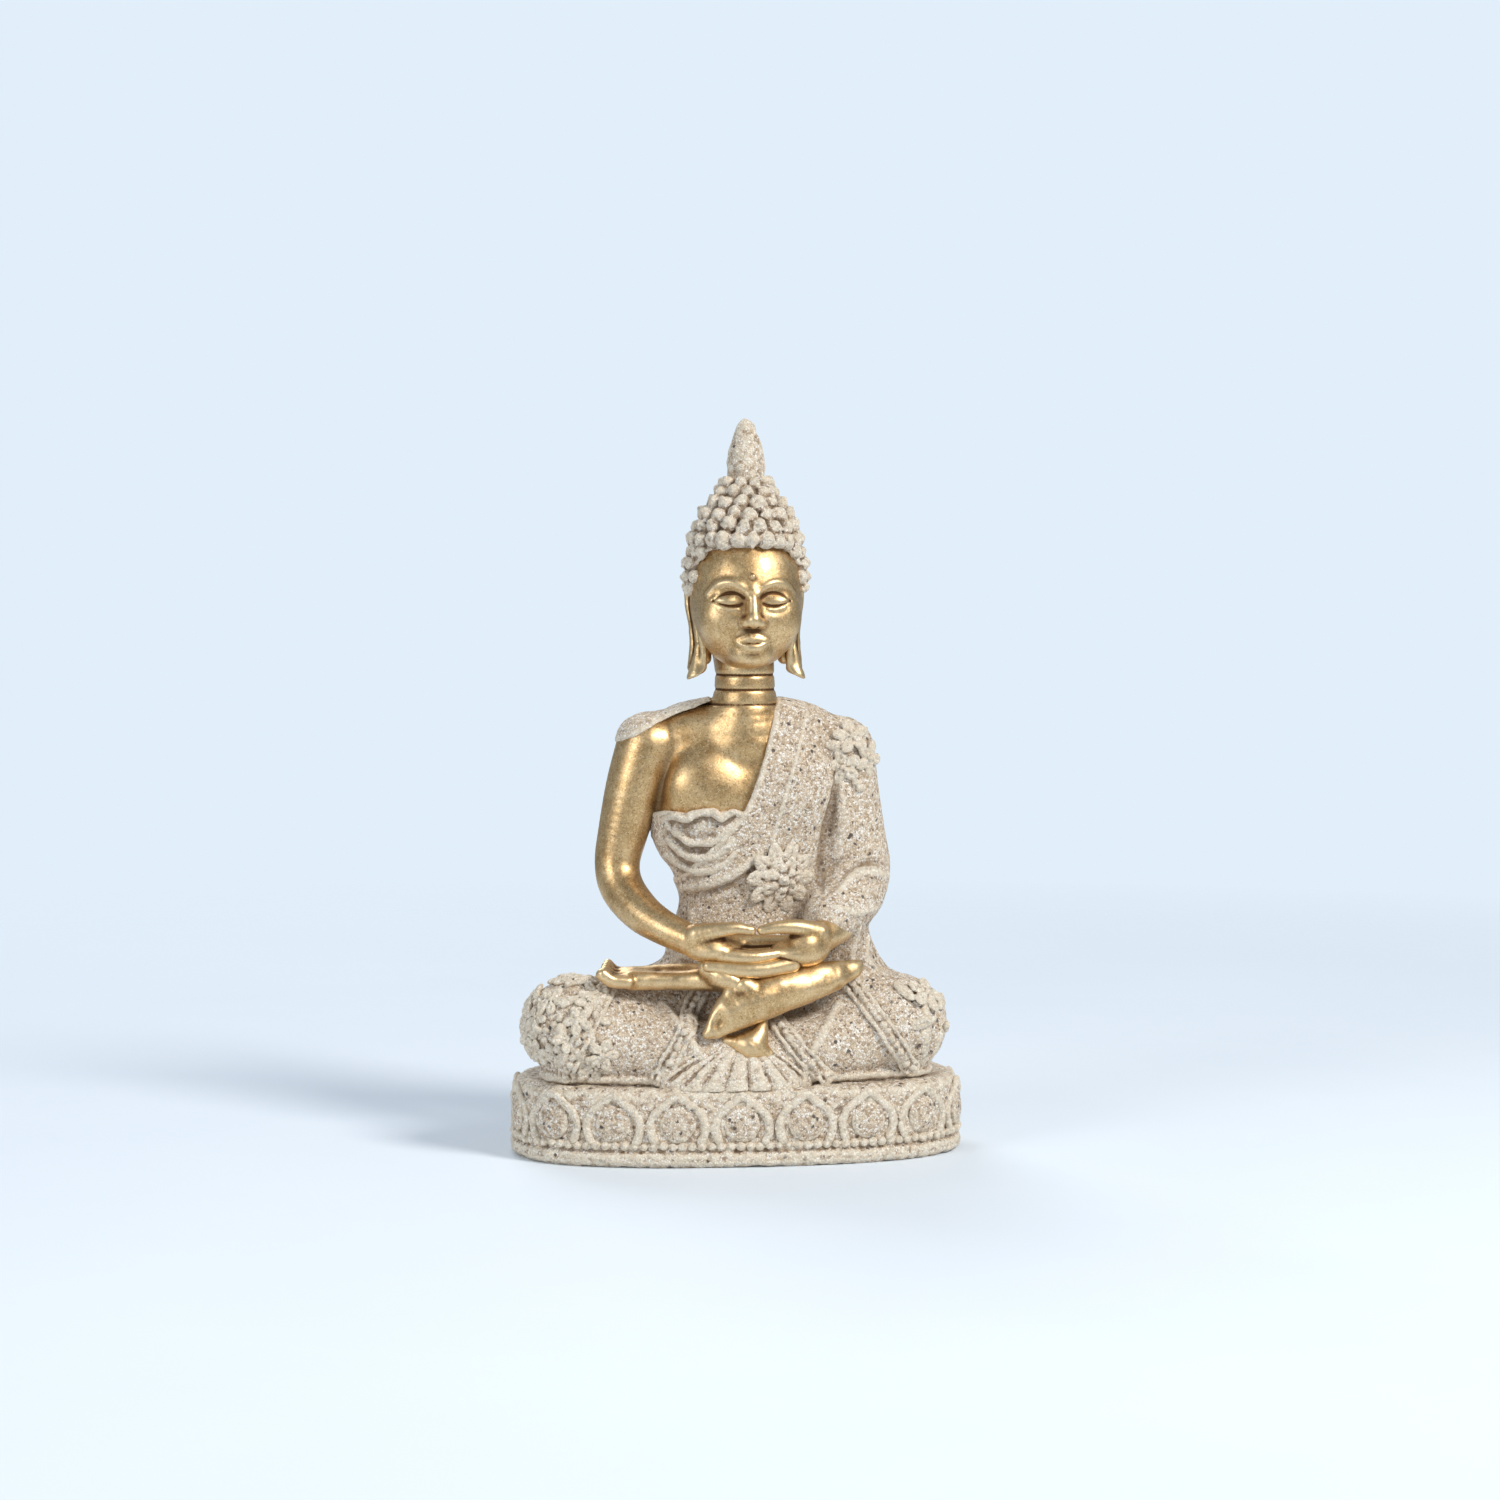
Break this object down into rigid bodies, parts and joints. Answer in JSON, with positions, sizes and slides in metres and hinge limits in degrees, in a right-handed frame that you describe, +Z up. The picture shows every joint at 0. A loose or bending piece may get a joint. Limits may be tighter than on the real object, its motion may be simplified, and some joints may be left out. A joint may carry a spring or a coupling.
{
  "type": "seated buddha statuette",
  "caption": "Seated meditating figure in a draped robe on an oval lotus plinth, sandstone-look casting with gold skin.",
  "frame": {"origin": "middle of the plinth's underside", "axes": "+Z up, -Y the way the figure faces, +X towards the figure's left side"},
  "size_m": [0.0686, 0.037, 0.11],
  "materials": {
    "sandstone": "matt cast sandstone-look resin, fine coarse-sand grain in cream, tan and brown with sparse black specks",
    "gold_paint": "satin metallic gold paint over cast resin, with dark brown antiquing left in the creases"
  },
  "bodies": {
    "root": {"plinth_core": "sandstone", "plinth_foot_rim": "sandstone", "plinth_bead_moulding": "sandstone", "plinth_lotus_petals": "sandstone", "right_hand": "gold_paint", "left_hand": "gold_paint", "trunk": "gold_paint", "neck": "gold_paint", "head": "gold_paint", "right_ear": "gold_paint", "left_ear": "gold_paint", "curl_cone": "sandstone", "hair_cap": "sandstone", "topknot_flame": "sandstone", "right_upper_arm": "gold_paint", "right_forearm": "gold_paint", "left_sleeve_upper": "sandstone", "left_sleeve_lower": "sandstone", "left_shin": "gold_paint", "right_foot": "gold_paint", "left_foot": "gold_paint", "robe_front": "sandstone", "chest_wrap": "sandstone", "robe_back": "sandstone", "skirt_core": "sandstone", "right_leg_drape": "sandstone", "left_leg_drape": "sandstone", "pleated_fan": "sandstone", "right_knee_border": "sandstone", "right_shin_border": "sandstone", "left_shin_border": "sandstone", "left_knee_border": "sandstone", "waist_flower": "sandstone", "shoulder_flower": "sandstone", "right_knee_flower": "sandstone", "left_knee_flower": "sandstone"}
  },
  "joints": []
}
